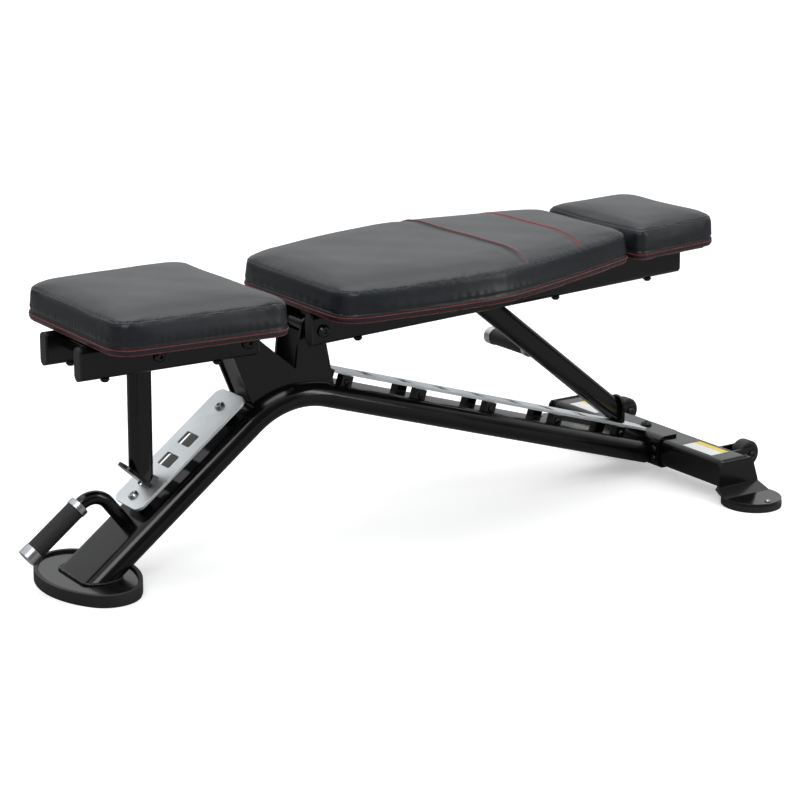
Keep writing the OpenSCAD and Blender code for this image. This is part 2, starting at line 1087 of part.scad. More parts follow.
strut_handle_grip();
strut_handle_rings();
wheel_near_tyre();
wheel_near_hub();
wheel_far_tyre();
wheel_far_hub();
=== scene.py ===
"""Adjustable weight bench: cushions, stitching, weld beads, materials, floor, lights, camera."""

import json
import math

import bmesh
import bpy
import numpy as np
from mathutils import Matrix, Vector
from mathutils.bvhtree import BVHTree


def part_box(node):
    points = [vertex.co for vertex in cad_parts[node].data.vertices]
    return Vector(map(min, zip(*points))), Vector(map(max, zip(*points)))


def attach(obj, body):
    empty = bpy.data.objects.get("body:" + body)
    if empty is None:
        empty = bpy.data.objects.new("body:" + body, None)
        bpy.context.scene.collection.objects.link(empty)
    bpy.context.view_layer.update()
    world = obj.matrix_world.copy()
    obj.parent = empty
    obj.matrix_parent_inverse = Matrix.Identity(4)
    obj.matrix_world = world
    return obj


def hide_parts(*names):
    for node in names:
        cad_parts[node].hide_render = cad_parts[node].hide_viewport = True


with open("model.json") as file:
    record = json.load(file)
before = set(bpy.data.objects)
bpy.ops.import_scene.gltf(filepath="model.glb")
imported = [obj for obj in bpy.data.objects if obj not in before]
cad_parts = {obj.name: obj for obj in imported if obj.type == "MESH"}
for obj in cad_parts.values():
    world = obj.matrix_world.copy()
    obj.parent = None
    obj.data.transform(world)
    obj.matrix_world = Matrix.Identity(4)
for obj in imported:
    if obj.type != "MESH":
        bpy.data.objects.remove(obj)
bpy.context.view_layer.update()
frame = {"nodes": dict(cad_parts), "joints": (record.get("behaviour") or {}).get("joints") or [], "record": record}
NODES = frame["nodes"]
JOINTS = {j["name"]: j for j in frame["joints"]}
MM = 0.001

# ---------------------------------------------------------------- sizes, metres
REST_RISE = math.radians(2.4)     # the backrest's slope at rest
RING_LOW, RING_HIGH = 4 * MM, 6 * MM  # heights that hold the cushion's widest ring
CROWN = 7 * MM                    # rise of a cushion's middle above its edge
SHOULDER = 11 * MM                # radius between the boxing and the top panel
SEAM_LEAN = 48                    # where the top seam sits on the shoulder, degrees
BAND_TOP = 18 * MM                # height of the stitched lower band
BAND_STITCHES = (3.5 * MM, 11.5 * MM)  # heights of the two red rows on that band
TOP_STITCH_GAP = 4.2 * MM         # from the top seam to each row of stitches
WELT_SEAM_X = 318 * MM            # deep transverse seam, along the backrest
DOUBLE_SEAM_X = 462 * MM          # double-stitched transverse seam
WELT_ROW, DOUBLE_ROW = 4.5 * MM, 3.5 * MM  # from those seams to their red rows
VOXEL = 5 * MM                    # quad size of a remeshed cushion
SIM_FRAMES = 20                   # frames of swelling
SWELL = {"seat_pad": 5 * MM, "back_pad": 6 * MM, "head_pad": 5 * MM}  # most it may swell
STITCH_PITCH, STITCH_LENGTH, STITCH_RADIUS = 4.6 * MM, 4.2 * MM, 0.85 * MM
EDGE_WIDTH = 0.6 * MM             # small radius on every cut or bent metal edge
BEAD, THIN_BEAD = 3.2 * MM, 2.6 * MM  # weld bead radii
BEAD_PITCH = 1.1 * MM             # between the rings of a weld bead
FLOOR_HALF = 9.0                  # half of the floor's side

rng = np.random.default_rng(7)


# ---------------------------------------------------------------- material helpers
def new_material(name):
    material = bpy.data.materials.new(name)
    material.use_nodes = True
    tree = material.node_tree
    return material, tree, tree.nodes["Principled BSDF"]


def set_inputs(node, **values):
    for key, value in values.items():
        node.inputs[key.replace("_", " ")].default_value = value
    return node


def add(tree, kind, **values):
    return set_inputs(tree.nodes.new(kind), **values)


def place(tree, stretch=(1, 1, 1)):
    """Object coordinates in metres, stretched for a directional grain."""
    coords = tree.nodes.new("ShaderNodeTexCoord")
    mapping = tree.nodes.new("ShaderNodeMapping")
    mapping.inputs["Scale"].default_value = stretch
    tree.links.new(coords.outputs["Object"], mapping.inputs["Vector"])
    return mapping.outputs["Vector"]


def noise(tree, where, scale, detail=3.0, roughness=0.5):
    node = add(tree, "ShaderNodeTexNoise", Scale=scale, Detail=detail, Roughness=roughness)
    tree.links.new(where, node.inputs["Vector"])
    return node.outputs["Fac"]


def cells(tree, where, scale):
    node = add(tree, "ShaderNodeTexVoronoi", Scale=scale)
    tree.links.new(where, node.inputs["Vector"])
    return node.outputs["Distance"]


def spread(tree, value, low, high, start=0.3, end=0.7):
    """Value from start..end, mapped to low..high."""
    node = tree.nodes.new("ShaderNodeMapRange")
    ends = {"From Min": start, "From Max": end, "To Min": low, "To Max": high}
    for socket, number in ends.items():
        node.inputs[socket].default_value = number
    tree.links.new(value, node.inputs["Value"])
    return node.outputs["Result"]


def tint(tree, value, stops):
    """Colour ramp through (position, colour) stops."""
    node = tree.nodes.new("ShaderNodeValToRGB")
    ramp = node.color_ramp
    while len(ramp.elements) < len(stops):
        ramp.elements.new(0.5)
    for element, (position, colour) in zip(ramp.elements, stops):
        element.position = position
        element.color = (*colour, 1)
    tree.links.new(value, node.inputs["Fac"])
    return node.outputs["Color"]


def relief(tree, shader, height, strength, distance, below=None):
    node = add(tree, "ShaderNodeBump", Strength=strength, Distance=distance)
    tree.links.new(height, node.inputs["Height"])
    if below is not None:
        tree.links.new(below, node.inputs["Normal"])
    tree.links.new(node.outputs["Normal"], shader.inputs["Normal"])
    return node.outputs["Normal"]


# ---------------------------------------------------------------- materials
def gloss_black_paint():
    """Powder coat: deep black, glossy, with orange peel and slightly duller patches."""
    material, tree, shader = new_material("gloss_black_paint")
    set_inputs(shader, IOR=1.4, Coat_Weight=0.1, Coat_Roughness=0.06)
    where = place(tree)
    patches = noise(tree, where, 9, 4)
    colour = tint(tree, patches, [(0.3, (0.0022, 0.0023, 0.0027)), (0.7, (0.0046, 0.0048, 0.0055))])
    tree.links.new(colour, shader.inputs["Base Color"])
    tree.links.new(spread(tree, patches, 0.13, 0.24), shader.inputs["Roughness"])
    relief(tree, shader, noise(tree, where, 420, 2), 0.1, 0.0004)
    return material


def moulded(name, dark, light, rough_low, rough_high, grain, depth):
    """Rubber and plastic: a fine speckled skin with uneven dullness."""
    material, tree, shader = new_material(name)
    where = place(tree)
    tree.links.new(tint(tree, noise(tree, where, 30, 4), [(0.3, dark), (0.7, light)]),
                   shader.inputs["Base Color"])
    tree.links.new(spread(tree, noise(tree, where, 14), rough_low, rough_high),
                   shader.inputs["Roughness"])
    relief(tree, shader, cells(tree, where, grain), 0.25, depth)
    return material


def metal(name, dark, light, rough_low, rough_high, stretch, scale, depth=0.00012):
    """Bare metal with a directional brushed or turned grain."""
    material, tree, shader = new_material(name)
    set_inputs(shader, Metallic=1.0)
    where = place(tree, stretch)
    grain = noise(tree, where, scale, 4)
    cloud = noise(tree, place(tree), 22, 3)
    tree.links.new(tint(tree, cloud, [(0.3, dark), (0.7, light)]), shader.inputs["Base Color"])
    tree.links.new(spread(tree, grain, rough_low, rough_high), shader.inputs["Roughness"])
    relief(tree, shader, grain, 0.3, depth)
    return material


def dark_leather():
    """Pebbled black upholstery leather with creases and a soft polish."""
    material, tree, shader = new_material("dark_leather")
    set_inputs(shader, IOR=1.45, Coat_Weight=0.12, Coat_Roughness=0.22)
    where = place(tree)
    cloud = noise(tree, where, 7, 5, 0.6)
    colour = tint(tree, cloud, [(0.25, (0.0070, 0.0095, 0.0125)), (0.75, (0.0125, 0.0165, 0.0210))])
    tree.links.new(colour, shader.inputs["Base Color"])
    tree.links.new(spread(tree, cloud, 0.36, 0.46), shader.inputs["Roughness"])
    creases = relief(tree, shader, noise(tree, where, 130, 5, 0.6), 0.25, 0.0006)
    relief(tree, shader, cells(tree, where, 780), 0.35, 0.00035, creases)
    return material


def thread(name, dark, light):
    material, tree, shader = new_material(name)
    set_inputs(shader, Roughness=0.6, Sheen_Weight=0.3)
    where = place(tree)
    tree.links.new(tint(tree, noise(tree, where, 160, 2), [(0.3, dark), (0.7, light)]),
                   shader.inputs["Base Color"])
    relief(tree, shader, noise(tree, where, 2600, 2), 0.5, 0.0002)
    return material


def plywood():
    """Black-stained board under the cushions, with a faint long grain."""
    material, tree, shader = new_material("plywood")
    where = place(tree, (2, 26, 26))
    grain = noise(tree, where, 9, 6, 0.65)
    tree.links.new(tint(tree, grain, [(0.3, (0.011, 0.01, 0.01)), (0.7, (0.026, 0.023, 0.021))]),
                   shader.inputs["Base Color"])
    tree.links.new(spread(tree, grain, 0.6, 0.8), shader.inputs["Roughness"])
    relief(tree, shader, grain, 0.4, 0.0004)
    return material


def blank_label():
    """Printed paper label with nothing on it: a coloured end strip and a plain white field."""
    material, tree, shader = new_material("blank_label")
    set_inputs(shader, Roughness=0.42, Coat_Weight=0.25)
    where = place(tree)
    split = tree.nodes.new("ShaderNodeSeparateXYZ")
    tree.links.new(where, split.inputs["Vector"])
    low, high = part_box("blank_labels")
    edge = low.x + 0.64 * (high.x - low.x)
    strip = tint(tree, spread(tree, split.outputs["X"], 0, 1, edge, edge + 0.4 * MM),
                 [(0.0, (0.78, 0.79, 0.79)), (1.0, (0.8, 0.6, 0.03))])
    tree.links.new(strip, shader.inputs["Base Color"])
    relief(tree, shader, noise(tree, where, 240, 2), 0.15, 0.0002)
    return material


LEATHER = dark_leather()
PAINT = gloss_black_paint()
RED_THREAD = thread("red_thread", (0.30, 0.012, 0.014), (0.46, 0.022, 0.022))
DARK_THREAD = thread("dark_thread", (0.008, 0.009, 0.01), (0.016, 0.017, 0.019))
FINISHES = {
    "gloss_black_paint": PAINT,
    "black_rubber": moulded("black_rubber", (0.010, 0.010, 0.011), (0.019, 0.019, 0.02),
                            0.5, 0.68, 900, 0.0003),
    "wheel_rubber": moulded("wheel_rubber", (0.012, 0.012, 0.012), (0.024, 0.024, 0.024),
                            0.55, 0.75, 700, 0.0004),
    "black_plastic": moulded("black_plastic", (0.008, 0.008, 0.009), (0.014, 0.014, 0.015),
                             0.35, 0.48, 1400, 0.0002),
    "satin_aluminium": metal("satin_aluminium", (0.48, 0.49, 0.51), (0.60, 0.61, 0.63),
                             0.24, 0.36, (1, 14, 1), 260),
    "zinc_plate": metal("zinc_plate", (0.74, 0.78, 0.80), (0.86, 0.89, 0.90),
                        0.34, 0.48, (1, 9, 1), 210),
    "bolt_steel": metal("bolt_steel", (0.42, 0.43, 0.45), (0.58, 0.59, 0.6),
                        0.22, 0.36, (1, 1, 1), 500),
    "black_bolt": metal("black_bolt", (0.03, 0.03, 0.033), (0.06, 0.06, 0.065),
                        0.26, 0.4, (1, 1, 1), 500),
    "plywood": plywood(),
    "dark_leather": LEATHER,
    "blank_label": blank_label(),
}


def finish_nodes():
    """Every CAD node gets its finish, even shading and softly rounded edges."""
    for part in frame["record"]["subparts"]:
        node = NODES[part["node"]]
        mesh = node.data
        mesh.materials.clear()
        mesh.materials.append(FINISHES[part["material_slot"]])
        for layer in ("custom_normal", "sharp_edge", "sharp_face"):
            if layer in mesh.attributes:
                mesh.attributes.remove(mesh.attributes[layer])
        node.modifiers.new("Join", "WELD").merge_threshold = 0.01 * MM
        flat = node.modifiers.new("Flat faces", "DECIMATE")
        flat.decimate_type, flat.angle_limit = "DISSOLVE", math.radians(0.6)
        edge = node.modifiers.new("Edges", "BEVEL")
        edge.width, edge.segments, edge.limit_method = EDGE_WIDTH, 2, "ANGLE"
        edge.angle_limit, edge.harden_normals = math.radians(36), True
        edge.use_clamp_overlap, edge.miter_outer = False, "MITER_ARC"


# ---------------------------------------------------------------- mesh helpers
def make_object(name, vertices, faces, material, smooth=True):
    mesh = bpy.data.meshes.new(name)
    mesh.from_pydata([tuple(v) for v in vertices], [], faces)
    mesh.validate()
    mesh.materials.append(material)
    mesh.polygons.foreach_set("use_smooth", [smooth] * len(mesh.polygons))
    made = bpy.data.objects.new(name, mesh)
    bpy.context.scene.collection.objects.link(made)
    return made


def points_of(mesh):
    flat = np.empty(len(mesh.vertices) * 3)
    mesh.vertices.foreach_get("co", flat)
    return flat.reshape(-1, 3)


def put_points(mesh, points):
    mesh.vertices.foreach_set("co", np.asarray(points, np.float32).ravel())
    mesh.update()


def normals_of(mesh):
    flat = np.empty(len(mesh.vertices) * 3, np.float32)
    mesh.vertex_normals.foreach_get("vector", flat)
    return flat.reshape(-1, 3).astype(float)


def smooth_step(value, start, end):
    t = np.clip((value - start) / (end - start), 0, 1)
    return t * t * (3 - 2 * t)


def bell(value, centre, width):
    return np.exp(-(((value - centre) / width) ** 2))


def even_points(path, pitch, closed):
    """The path again, with points an equal distance apart, close to pitch."""
    path = np.asarray(path, float)
    if closed:
        path = np.vstack([path, path[:1]])
    lengths = np.linalg.norm(np.diff(path, axis=0), axis=1)
    along = np.concatenate([[0], np.cumsum(lengths)])
    count = max(3, round(along[-1] / pitch))
    where = np.linspace(0, along[-1], count + 1)
    if closed:
        where = where[:-1]
    return np.stack([np.interp(where, along, path[:, k]) for k in range(path.shape[1])], 1)


def capsules(name, centres, directions, normals, length, radius, material):
    """Many short rounded threads in one mesh, each lying along its direction."""
    sides, vertices, faces = 6, [], []
    rings = [(-0.5, 0.25), (-0.36, 0.85), (0, 1.0), (0.36, 0.85), (0.5, 0.25)]
    for centre, direction, normal in zip(centres, directions, normals):
        across = np.cross(direction, normal)
        across /= np.linalg.norm(across) + 1e-12
        up = np.cross(across, direction)
        base = len(vertices)
        for along, wide in rings:
            sink = radius * (0.1 - 1.6 * (2 * along) ** 4 * 0.5)
            middle = centre + direction * along * length + up * sink
            for k in range(sides):
                angle = 2 * math.pi * k / sides
                vertices.append(middle + radius * wide
                                * (across * math.cos(angle) + up * math.sin(angle)))
        for r in range(len(rings) - 1):
            for k in range(sides):
                a, b = base + r * sides + k, base + r * sides + (k + 1) % sides
                faces.append((a, b, b + sides, a + sides))
        faces.append(tuple(base + k for k in reversed(range(sides))))
        faces.append(tuple(base + (len(rings) - 1) * sides + k for k in range(sides)))
    return make_object(name, vertices, faces, material)


# ---------------------------------------------------------------- cushions
class Cushion:
    """A CAD cushion solid turned into an inflated, seamed leather cover."""

    def __init__(self, node, body, hinge, rise):
        self.node, self.body = node, body
        turn = Matrix.Rotation(-rise, 4, "Y")
        self.to_world = Matrix.Translation(Vector(JOINTS[hinge]["pos_m"])) @ turn
        self.to_local = self.to_world.inverted()
        local = self.local(points_of(NODES[node].data))
        self.bottom, self.top = local[:, 2].min(), local[:, 2].max()
        height = local[:, 2] - self.bottom
        ring = local[(height > RING_LOW) & (height < RING_HIGH)][:, :2]
        self.centre = (ring.min(0) + ring.max(0)) / 2
        angle = np.arctan2(ring[:, 1] - self.centre[1], ring[:, 0] - self.centre[0])
        self.outline = ring[np.argsort(angle)]
        self.edge = self.top - self.bottom - CROWN

    def local(self, points):
        m = np.array(self.to_local)
        return points @ m[:3, :3].T + m[:3, 3]

    def world(self, points):
        m = np.array(self.to_world)
        return points @ m[:3, :3].T + m[:3, 3]

    def inward(self, points):
        """Distance from the outline, positive inside it."""
        a, b = self.outline, np.roll(self.outline, -1, 0)
        side = b - a
        best = np.full(len(points), 1e9)
        sign = np.full(len(points), 1e9)
        for start, edge in zip(a, side):
            size = np.dot(edge, edge)
            if size < 1e-14:
                continue
            off = points[:, :2] - start
            t = np.clip(off @ edge / size, 0, 1)
            gap = np.linalg.norm(off - t[:, None] * edge, axis=1)
            best = np.minimum(best, gap)
            cross = edge[0] * off[:, 1] - edge[1] * off[:, 0]
            sign = np.minimum(sign, cross / math.sqrt(size))
        return np.where(sign >= 0, best, -best)

    def half_width(self, x):
        """From the centre line to the outline, at x."""
        side = self.outline[self.outline[:, 1] > 0]
        side = side[np.argsort(side[:, 0])]
        return np.interp(x, side[:, 0], side[:, 1])

    def shell(self):
        """The CAD solid remeshed to even quads, with its seam lines pinned for the cloth."""
        mesh = NODES[self.node].data.copy()
        self.piece = bpy.data.objects.new(self.node + "_cover", mesh)
        bpy.context.scene.collection.objects.link(self.piece)
        bpy.context.view_layer.objects.active = self.piece
        remesh = self.piece.modifiers.new("Remesh", "REMESH")
        remesh.mode, remesh.voxel_size = "VOXEL", VOXEL
        settled = bpy.data.meshes.new_from_object(
            self.piece.evaluated_get(bpy.context.evaluated_depsgraph_get()))
        self.piece.modifiers.clear()
        self.piece.data = settled
        self.rest = points_of(settled)
        local = self.local(self.rest)
        height, inset = local[:, 2] - self.bottom, self.inward(local)
        on_side = inset < 6 * MM
        held = (height < 6 * MM) | (on_side & (np.abs(height - BAND_TOP) < 3 * MM))
        group = self.piece.vertex_groups.new(name="held")
        group.add([int(i) for i in np.nonzero(held)[0]], 1.0, "REPLACE")
        cloth = self.piece.modifiers.new("Cloth", "CLOTH").settings
        cloth.vertex_group_mass = "held"
        cloth.quality = 5
        cloth.mass = 0.3
        cloth.tension_stiffness = cloth.compression_stiffness = 18
        cloth.shear_stiffness = 6
        cloth.bending_stiffness = 0.6
        cloth.use_pressure = True
        cloth.uniform_pressure_force = 4
        cloth.effector_weights.gravity = 0

    def settle(self, limit):
        """Keeps the simulated swelling, no further than limit, and leaves the underside flat."""
        if self.piece.modifiers:
            swollen = points_of(self.piece.evaluated_get(
                bpy.context.evaluated_depsgraph_get()).data)
            self.piece.modifiers.clear()
            move = swollen - self.rest
            size = np.linalg.norm(move, axis=1, keepdims=True)
            move *= np.tanh(size / limit) * limit / np.maximum(size, 1e-9)
            local = self.local(self.rest)
            height = local[:, 2] - self.bottom
            panel = smooth_step(self.inward(local), 8 * MM, 30 * MM)[:, None]
            near = self.averaged(move, 8)
            move = near + (self.averaged(near, 90) - near) * panel
            put_points(self.piece.data, self.rest + move * smooth_step(height, 0, 9 * MM)[:, None])
        even = self.piece.modifiers.new("Even", "SMOOTH")
        even.factor, even.iterations = 0.4, 2
        fine = self.piece.modifiers.new("Fine", "SUBSURF")
        fine.levels = fine.render_levels = 1
        done = bpy.data.meshes.new_from_object(
            self.piece.evaluated_get(bpy.context.evaluated_depsgraph_get()))
        self.piece.modifiers.clear()
        self.piece.vertex_groups.clear()
        self.piece.data = done
        done.materials.clear()
        done.materials.append(LEATHER)
        done.polygons.foreach_set("use_smooth", [True] * len(done.polygons))

    def averaged(self, move, rounds):
        """Moves evened out along the mesh, so that only the broad swelling is left."""
        mesh = self.piece.data
        ends = np.empty(len(mesh.edges) * 2, np.int64)
        mesh.edges.foreach_get("vertices", ends)
        a, b = ends.reshape(-1, 2).T
        count = len(mesh.vertices)
        links = np.maximum(np.bincount(a, minlength=count) + np.bincount(b, minlength=count), 1)
        for _ in range(rounds):
            total = np.stack([np.bincount(a, move[b, k], count)
                              + np.bincount(b, move[a, k], count) for k in range(3)], 1)
            move = 0.5 * move + 0.5 * total / links[:, None]
        return move

    def carve(self, seams=()):
        """Presses the seams into the cover and raises the pulled leather beside them."""
        mesh = self.piece.data
        points = points_of(mesh)
        local, normals = self.local(points), normals_of(mesh)
        height, inset = local[:, 2] - self.bottom, self.inward(local)
        angle = np.arctan2(local[:, 1] - self.centre[1], local[:, 0] - self.centre[0])
        side = smooth_step(-inset, -9 * MM, -5 * MM) * smooth_step(height, 0.5 * MM, 2 * MM)
        shoulder = SHOULDER * np.arctan2(height - (self.edge - SHOULDER),
                                         np.maximum(SHOULDER - inset, 1 * MM))
        seam_at = SHOULDER * math.radians(SEAM_LEAN)
        near_top = smooth_step(height, self.edge - 2.2 * SHOULDER, self.edge - SHOULDER)
        near_top *= 1 - smooth_step(inset, 1.4 * SHOULDER, 2.0 * SHOULDER)
        lift = -2.9 * MM * side * bell(height, BAND_TOP, 1.5 * MM)
        lift += 0.9 * MM * side * bell(height, BAND_TOP / 2, 6.5 * MM)
        for level in BAND_STITCHES:
            lift -= 0.7 * MM * side * bell(height, level, 1.1 * MM)
        lift -= 0.9 * MM * near_top * bell(shoulder, seam_at, 1.4 * MM)
        for row in (-TOP_STITCH_GAP, TOP_STITCH_GAP):
            lift -= 0.55 * MM * near_top * bell(shoulder, seam_at + row, 1.2 * MM)
            lift += 0.45 * MM * near_top * bell(shoulder, seam_at + row / 2, 1.2 * MM)
        # leather gathers a little at the seams, most of all round the corners
        pucker = np.sin(angle * 61) * np.sin(angle * 23 + 1.3) + 0.6 * np.sin(angle * 97 + 0.4)
        lift += 0.22 * MM * near_top * pucker * bell(shoulder, seam_at, 9 * MM)
        lift += 0.28 * MM * side * pucker * bell(height, BAND_TOP + 5 * MM, 6 * MM)
        on_top = smooth_step(height, self.edge - 5 * MM, self.edge - 1 * MM)
        for x, groove, ridge in seams:
            gap = local[:, 0] - x
            inside = on_top * smooth_step(inset, 5 * MM, 12 * MM)
            lift -= groove * inside * bell(gap, 0, 2.2 * MM)
            lift += ridge * inside * bell(gap, 5.5 * MM, 3.6 * MM)
            lift -= 0.35 * groove * inside * bell(gap, -9 * MM, 8 * MM)
        wave = (np.sin(local[:, 0] * 31 + 1.7) * np.sin(local[:, 1] * 27 + 0.6)
                + 0.5 * np.sin(local[:, 0] * 67 + local[:, 1] * 51))
        lift += 0.5 * MM * wave * smooth_step(inset, 10 * MM, 60 * MM) * on_top
        put_points(mesh, points + normals * lift[:, None])

    def tree(self):
        mesh = self.piece.data
        return BVHTree.FromPolygons([v.co for v in mesh.vertices],
                                    [tuple(p.vertices) for p in mesh.polygons])

    def lay(self, surface, starts, aims):
        """Points and normals where rays from starts, along aims (both local), meet the cover."""
        turn = np.array(self.to_world)[:3, :3]
        hits, normals = [], []
        for start, aim in zip(self.world(starts), aims @ turn.T):
            hit, normal, _, _ = surface.ray_cast(Vector(start), Vector(aim))
            hits.append(start if hit is None else np.array(hit))
            normals.append(-aim if normal is None else np.array(normal))
        return np.array(hits), np.array(normals)

    def outline_row(self, surface, height, lean):
        """A row round the cushion: rays come in level (lean 0) or tilted down (lean in degrees)."""
        ring = even_points(self.outline, STITCH_PITCH, True)
        ahead = np.roll(ring, -1, 0) - np.roll(ring, 1, 0)
        out = np.stack([ahead[:, 1], -ahead[:, 0]], 1)
        out /= np.linalg.norm(out, axis=1, keepdims=True)
        slope, reach = math.radians(lean), 60 * MM
        pivot = SHOULDER if lean else 0
        count = len(ring)
        level = self.bottom + height + reach * math.sin(slope)
        starts = np.column_stack([ring + out * (reach * math.cos(slope) - pivot),
                                  np.full(count, level)])
        aims = np.column_stack([-out * math.cos(slope), np.full(count, -math.sin(slope))])
        return self.lay(surface, starts, aims)

    def stitch(self, name, rows, material):
        """One mesh of thread for rows of (points, normals, closed)."""
        centres, directions, facing = [], [], []
        for points, normals, closed in rows:
            ahead = np.roll(points, -1, 0) - np.roll(points, 1, 0)
            if not closed:
                ahead[0], ahead[-1] = points[1] - points[0], points[-1] - points[-2]
            ahead /= np.linalg.norm(ahead, axis=1, keepdims=True)
            centres.append(points)
            directions.append(ahead)
            facing.append(normals)
        made = capsules(name, np.vstack(centres), np.vstack(directions), np.vstack(facing),
                        STITCH_LENGTH, STITCH_RADIUS, material)
        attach(made, self.body)
        return made

    def finish(self, label, cross_rows=()):
        """Cover, red band stitching, dark top stitching and any red rows across the top."""
        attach(self.piece, self.body)
        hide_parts(self.node)
        surface = self.tree()
        red = [(*self.outline_row(surface, level, 0), True) for level in BAND_STITCHES]
        hub = self.edge - SHOULDER
        row_angle = math.degrees(TOP_STITCH_GAP / SHOULDER)
        dark = [(*self.outline_row(surface, hub, SEAM_LEAN + turn), True)
                for turn in (-row_angle, row_angle)]
        for x in cross_rows:
            half = self.half_width(x) - 1.3 * SHOULDER
            count = round(2 * half / STITCH_PITCH)
            across = np.linspace(-half, half, count)
            above = np.full(count, self.top + 60 * MM)
            starts = np.column_stack([np.full(count, x), across, above])
            aims = np.tile([0.0, 0.0, -1.0], (count, 1))
            red.append((*self.lay(surface, starts, aims), False))
        self.stitch(label + "_red_stitching", red, RED_THREAD)
        self.stitch(label + "_seam_stitching", dark, DARK_THREAD)


def build_cushions():
    seat = Cushion("seat_pad", "seat", "seat_tilt", 0)
    back = Cushion("back_pad", "backrest", "back_tilt", REST_RISE)
    head = Cushion("head_pad", "backrest", "back_tilt", REST_RISE)
    cushions = [seat, back, head]
    for cushion in cushions:
        cushion.shell()
    for step in range(1, SIM_FRAMES + 1):
        bpy.context.scene.frame_set(step)
    for cushion in cushions:
        cushion.settle(SWELL[cushion.node])
    seat.carve()
    back.carve([(WELT_SEAM_X, 4.0 * MM, 1.0 * MM), (DOUBLE_SEAM_X, 1.1 * MM, 0.0)])
    head.carve()
    seat.finish("seat")
    back.finish("back", (WELT_SEAM_X + WELT_ROW, DOUBLE_SEAM_X - DOUBLE_ROW,
                         DOUBLE_SEAM_X + DOUBLE_ROW))
    head.finish("head")
    bpy.context.scene.frame_set(1)


# ---------------------------------------------------------------- weld beads
def slices(node, point, normal):
    """Closed loops where a plane cuts a CAD node, as lists of points."""
    cut = bmesh.new()
    cut.from_mesh(NODES[node].data)
    bmesh.ops.remove_doubles(cut, verts=cut.verts, dist=1e-6)
    made = bmesh.ops.bisect_plane(cut, geom=cut.verts[:] + cut.edges[:] + cut.faces[:],
                                  plane_co=point, plane_no=normal)["geom_cut"]
    edges = {e for e in made if isinstance(e, bmesh.types.BMEdge)}
    loops = []
    while edges:
        edge = edges.pop()
        chain = [edge.verts[0], edge.verts[1]]
        growing = True
        while growing:
            growing = False
            for other in chain[-1].link_edges:
                if other in edges:
                    edges.remove(other)
                    chain.append(other.other_vert(chain[-1]))
                    growing = True
                    break
        if len(chain) > 3:
            loops.append(np.array([v.co[:] for v in chain]))
    cut.free()
    return loops


def weld(name, path, body, radius=BEAD, closed=True):
    """A rippled bead along a path, painted over with the frame."""
    path = np.asarray(path, float)
    if closed and np.linalg.norm(path[0] - path[-1]) < 1e-5:
        path = path[:-1]
    spine = even_points(path, BEAD_PITCH, closed)
    ahead = np.roll(spine, -1, 0) - np.roll(spine, 1, 0)
    if not closed:
        ahead[0], ahead[-1] = spine[1] - spine[0], spine[-1] - spine[-2]
    ahead /= np.linalg.norm(ahead, axis=1, keepdims=True) + 1e-12
    sides, vertices, faces = 8, [], []
    ripple = np.abs(np.sin(np.arange(len(spine)) * 0.95)) * 0.28 + rng.normal(0, 0.05, len(spine))
    for i, (middle, direction) in enumerate(zip(spine, ahead)):
        across = np.cross(direction, (0.13, 0.21, 0.97))
        across /= np.linalg.norm(across) + 1e-12
        up = np.cross(across, direction)
        size = radius * (0.8 + ripple[i])
        if not closed:
            size *= min(1, 0.3 + min(i, len(spine) - 1 - i) / 3)
        for k in range(sides):
            angle = 2 * math.pi * k / sides
            vertices.append(middle + size * (across * math.cos(angle) + up * math.sin(angle)))
    count = len(spine)
    for i in range(count if closed else count - 1):
        for k in range(sides):
            a, b = i * sides + k, i * sides + (k + 1) % sides
            c, d = (i + 1) % count * sides + (k + 1) % sides, (i + 1) % count * sides + k
            faces.append((a, d, c, b))
    if not closed:
        faces.append(tuple(range(sides)))
        faces.append(tuple((count - 1) * sides + k for k in reversed(range(sides))))
    bead = make_object(name, vertices, faces, PAINT)
    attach(bead, body)
    return bead


def longest(loops):
    return max(loops, key=lambda loop: np.linalg.norm(np.diff(loop, axis=0), axis=1).sum())


def weld_frame():
    """Beads where the frame's own tubes and plates meet."""
    plate_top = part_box("front_foot_plate")[1].z
    foot_loops = slices("spine_tube", (0, 0, plate_top + 1 * MM), (0, 0, 1))
    weld("front_foot_weld", longest(foot_loops), "frame")
    for side, plate in ((-1, "yoke_near_plate"), (1, "yoke_far_plate")):
        low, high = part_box(plate)
        face = low.y if side < 0 else high.y
        loop = longest(slices("spine_tube", (0, face + side * 1 * MM, 0), (0, 1, 0)))
        keep = (loop[:, 0] > low.x + 2 * MM) & (loop[:, 0] < high.x - 2 * MM)
        upper = np.median(loop[keep][:, 2])
        keep &= loop[:, 2] > upper
        run = loop[keep]
        run = run[np.argsort(run[:, 0])]
        if len(run) > 2:
            weld(plate + "_weld", run, "frame", closed=False)
    low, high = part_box("rear_beam")
    for side, plate in ((-1, "rear_end_plate_near"), (1, "rear_end_plate_far")):
        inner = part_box(plate)[1].y if side < 0 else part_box(plate)[0].y
        inner = max(min(inner, high.y - 2 * MM), low.y + 2 * MM)
        loops = slices("rear_beam", (0, inner - side * 1 * MM, 0), (0, 1, 0))
        if loops:
            weld(plate + "_weld", longest(loops), "frame", THIN_BEAD)


# ---------------------------------------------------------------- stage
def area_light(name, place_at, aim, size, power, colour=(1, 1, 1)):
    data = bpy.data.lights.new(name, "AREA")
    data.shape, data.size, data.size_y = "RECTANGLE", size[0], size[1]
    data.energy, data.color = power, colour
    light = bpy.data.objects.new(name, data)
    bpy.context.scene.collection.objects.link(light)
    light.location = place_at
    light.rotation_euler = (Vector(aim) - Vector(place_at)).to_track_quat("-Z", "Y").to_euler()
    return light


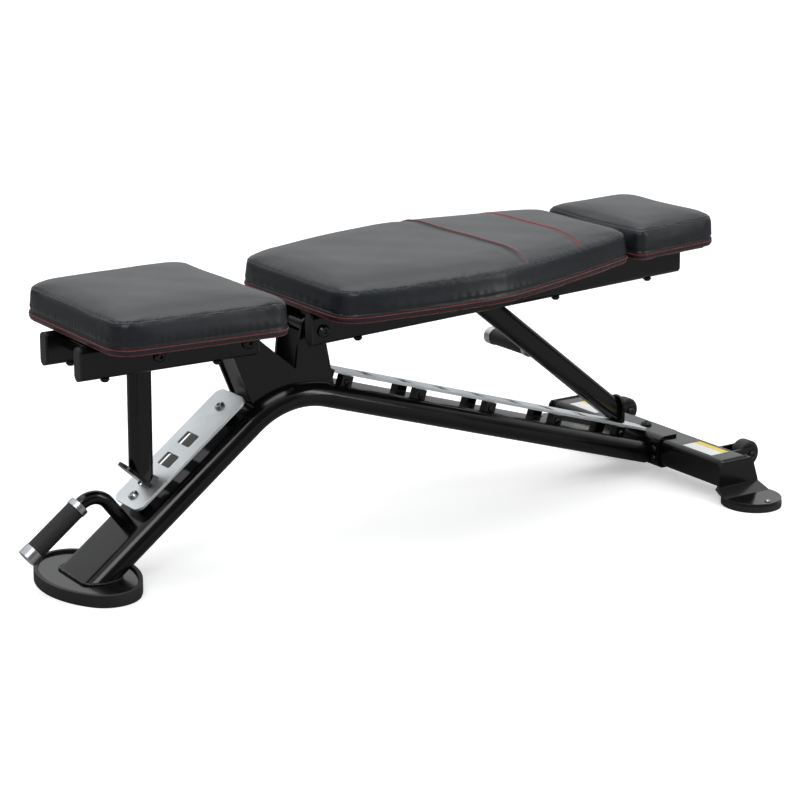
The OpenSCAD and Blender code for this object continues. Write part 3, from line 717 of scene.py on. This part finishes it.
def split_by_camera(tree, lit_by, seen_as, output):
    """One shader for the light a surface gives, another for how the camera sees it."""
    ray = tree.nodes.new("ShaderNodeLightPath")
    mix = tree.nodes.new("ShaderNodeMixShader")
    tree.links.new(ray.outputs["Is Camera Ray"], mix.inputs["Fac"])
    tree.links.new(lit_by, mix.inputs[1])
    tree.links.new(seen_as, mix.inputs[2])
    tree.links.new(mix.outputs["Shader"], output.inputs["Surface"])


def build_stage():
    corners = [(-FLOOR_HALF, -FLOOR_HALF, 0), (FLOOR_HALF, -FLOOR_HALF, 0),
               (FLOOR_HALF, FLOOR_HALF, 0), (-FLOOR_HALF, FLOOR_HALF, 0)]
    material, tree, shader = new_material("studio_floor")
    set_inputs(shader, Roughness=0.7, Emission_Color=(1, 1, 1, 1), Emission_Strength=0.42)
    tree.links.new(tint(tree, noise(tree, place(tree), 3, 3),
                        [(0.3, (0.86, 0.86, 0.86)), (0.7, (0.89, 0.89, 0.89))]),
                   shader.inputs["Base Color"])
    # bright to look at, but a dim floor in the light that the bench gets from it
    grey = add(tree, "ShaderNodeBsdfDiffuse", Color=(0.3, 0.3, 0.3, 1))
    split_by_camera(tree, grey.outputs["BSDF"], shader.outputs["BSDF"],
                    tree.nodes["Material Output"])
    floor = make_object("studio_floor", corners, [(0, 1, 2, 3)], material, smooth=False)
    world = bpy.data.worlds.new("studio")
    world.use_nodes = True
    tree = world.node_tree
    coords = tree.nodes.new("ShaderNodeTexCoord")
    toward = tree.nodes.new("ShaderNodeVectorMath")
    toward.operation = "DOT_PRODUCT"
    toward.inputs[1].default_value = (0.28, 0.4, 1.0)  # brighter overhead and behind the bench
    tree.links.new(coords.outputs["Generated"], toward.inputs[0])
    sky = tint(tree, toward.outputs["Value"], [
        (0.1, (0.1, 0.1, 0.105)), (0.3, (0.2, 0.2, 0.2)),
        (0.7, (0.74, 0.75, 0.76)), (1.0, (1.0, 1.0, 1.0))])
    studio = tree.nodes["Background"]
    tree.links.new(sky, studio.inputs["Color"])
    studio.inputs["Strength"].default_value = 1.1
    backdrop = add(tree, "ShaderNodeBackground", Color=(1, 1, 1, 1))
    split_by_camera(tree, studio.outputs["Background"], backdrop.outputs["Background"],
                    tree.nodes["World Output"])
    bpy.context.scene.world = world
    aim = (0.5, 0, 0.25)  # the middle of the bench
    area_light("key_light", (-1.5, -2.1, 2.7), aim, (1.5, 1.5), 34)
    area_light("strip_light", (2.4, -2.6, 1.5), aim, (0.4, 2.2), 22)
    area_light("top_light", (0.6, 0.2, 3.2), aim, (3.4, 2.4), 46)
    bpy.context.scene.view_settings.view_transform = "Standard"


def build_camera():
    data = bpy.data.cameras.new("camera")
    data.sensor_width, data.lens = 36.0, 97.67
    data.clip_start, data.clip_end = 0.05, 60.0
    camera = bpy.data.objects.new("camera", data)
    bpy.context.scene.collection.objects.link(camera)
    right = Vector((0.81975, -0.57257, 0.01276)).normalized()
    forward = Vector((0.55386, 0.78689, -0.27211))
    forward = (forward - right * forward.dot(right)).normalized()
    turn = Matrix((right, right.cross(forward), -forward)).transposed().to_4x4()
    camera.matrix_world = Matrix.Translation((-1.43895, -2.88569, 1.20646)) @ turn
    bpy.context.scene.camera = camera


build_camera()
build_stage()
finish_nodes()
build_cushions()
weld_frame()

bpy.context.view_layer.update()
